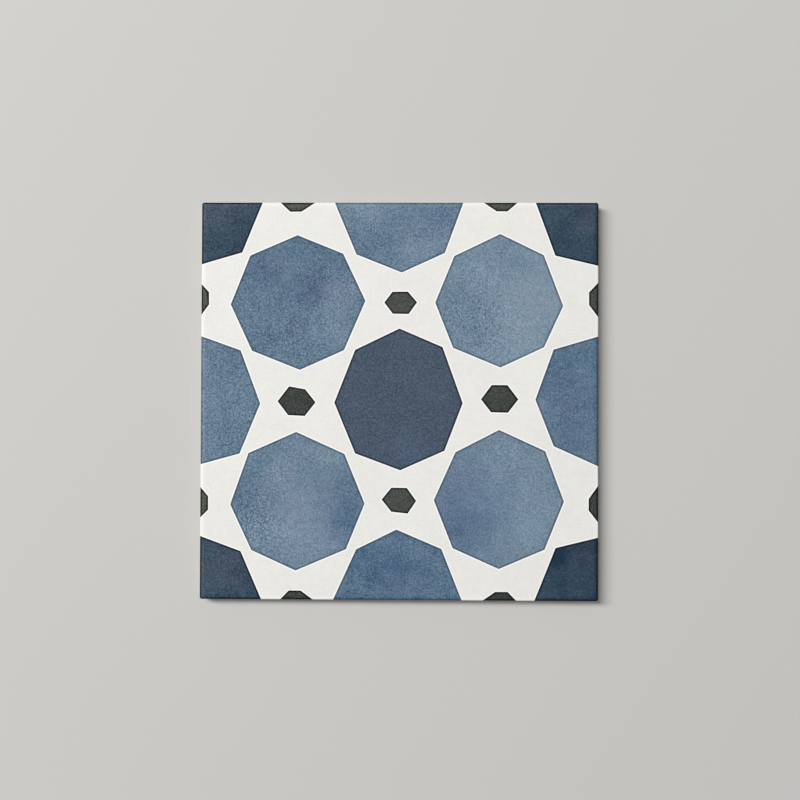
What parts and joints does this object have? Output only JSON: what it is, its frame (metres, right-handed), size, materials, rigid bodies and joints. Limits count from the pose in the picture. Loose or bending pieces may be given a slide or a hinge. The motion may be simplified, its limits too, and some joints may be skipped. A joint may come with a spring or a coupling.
{
  "type": "patterned porcelain tile",
  "caption": "Square glazed porcelain floor and wall tile with a printed octagon pattern, rounded face edge, bevelled back edge and a keyed back that adhesive grips.",
  "frame": {"origin": "middle of the bedding plane, the plane that the ribs and border of the keyed back lie in", "axes": "+Z out of the printed face, +X to the right and +Y to the top of the pattern as pictured"},
  "size_m": [0.2, 0.2, 0.008],
  "materials": {
    "printed_porcelain": "matte"
  },
  "bodies": {
    "root": {"porcelain_tile": "printed_porcelain"}
  },
  "joints": []
}
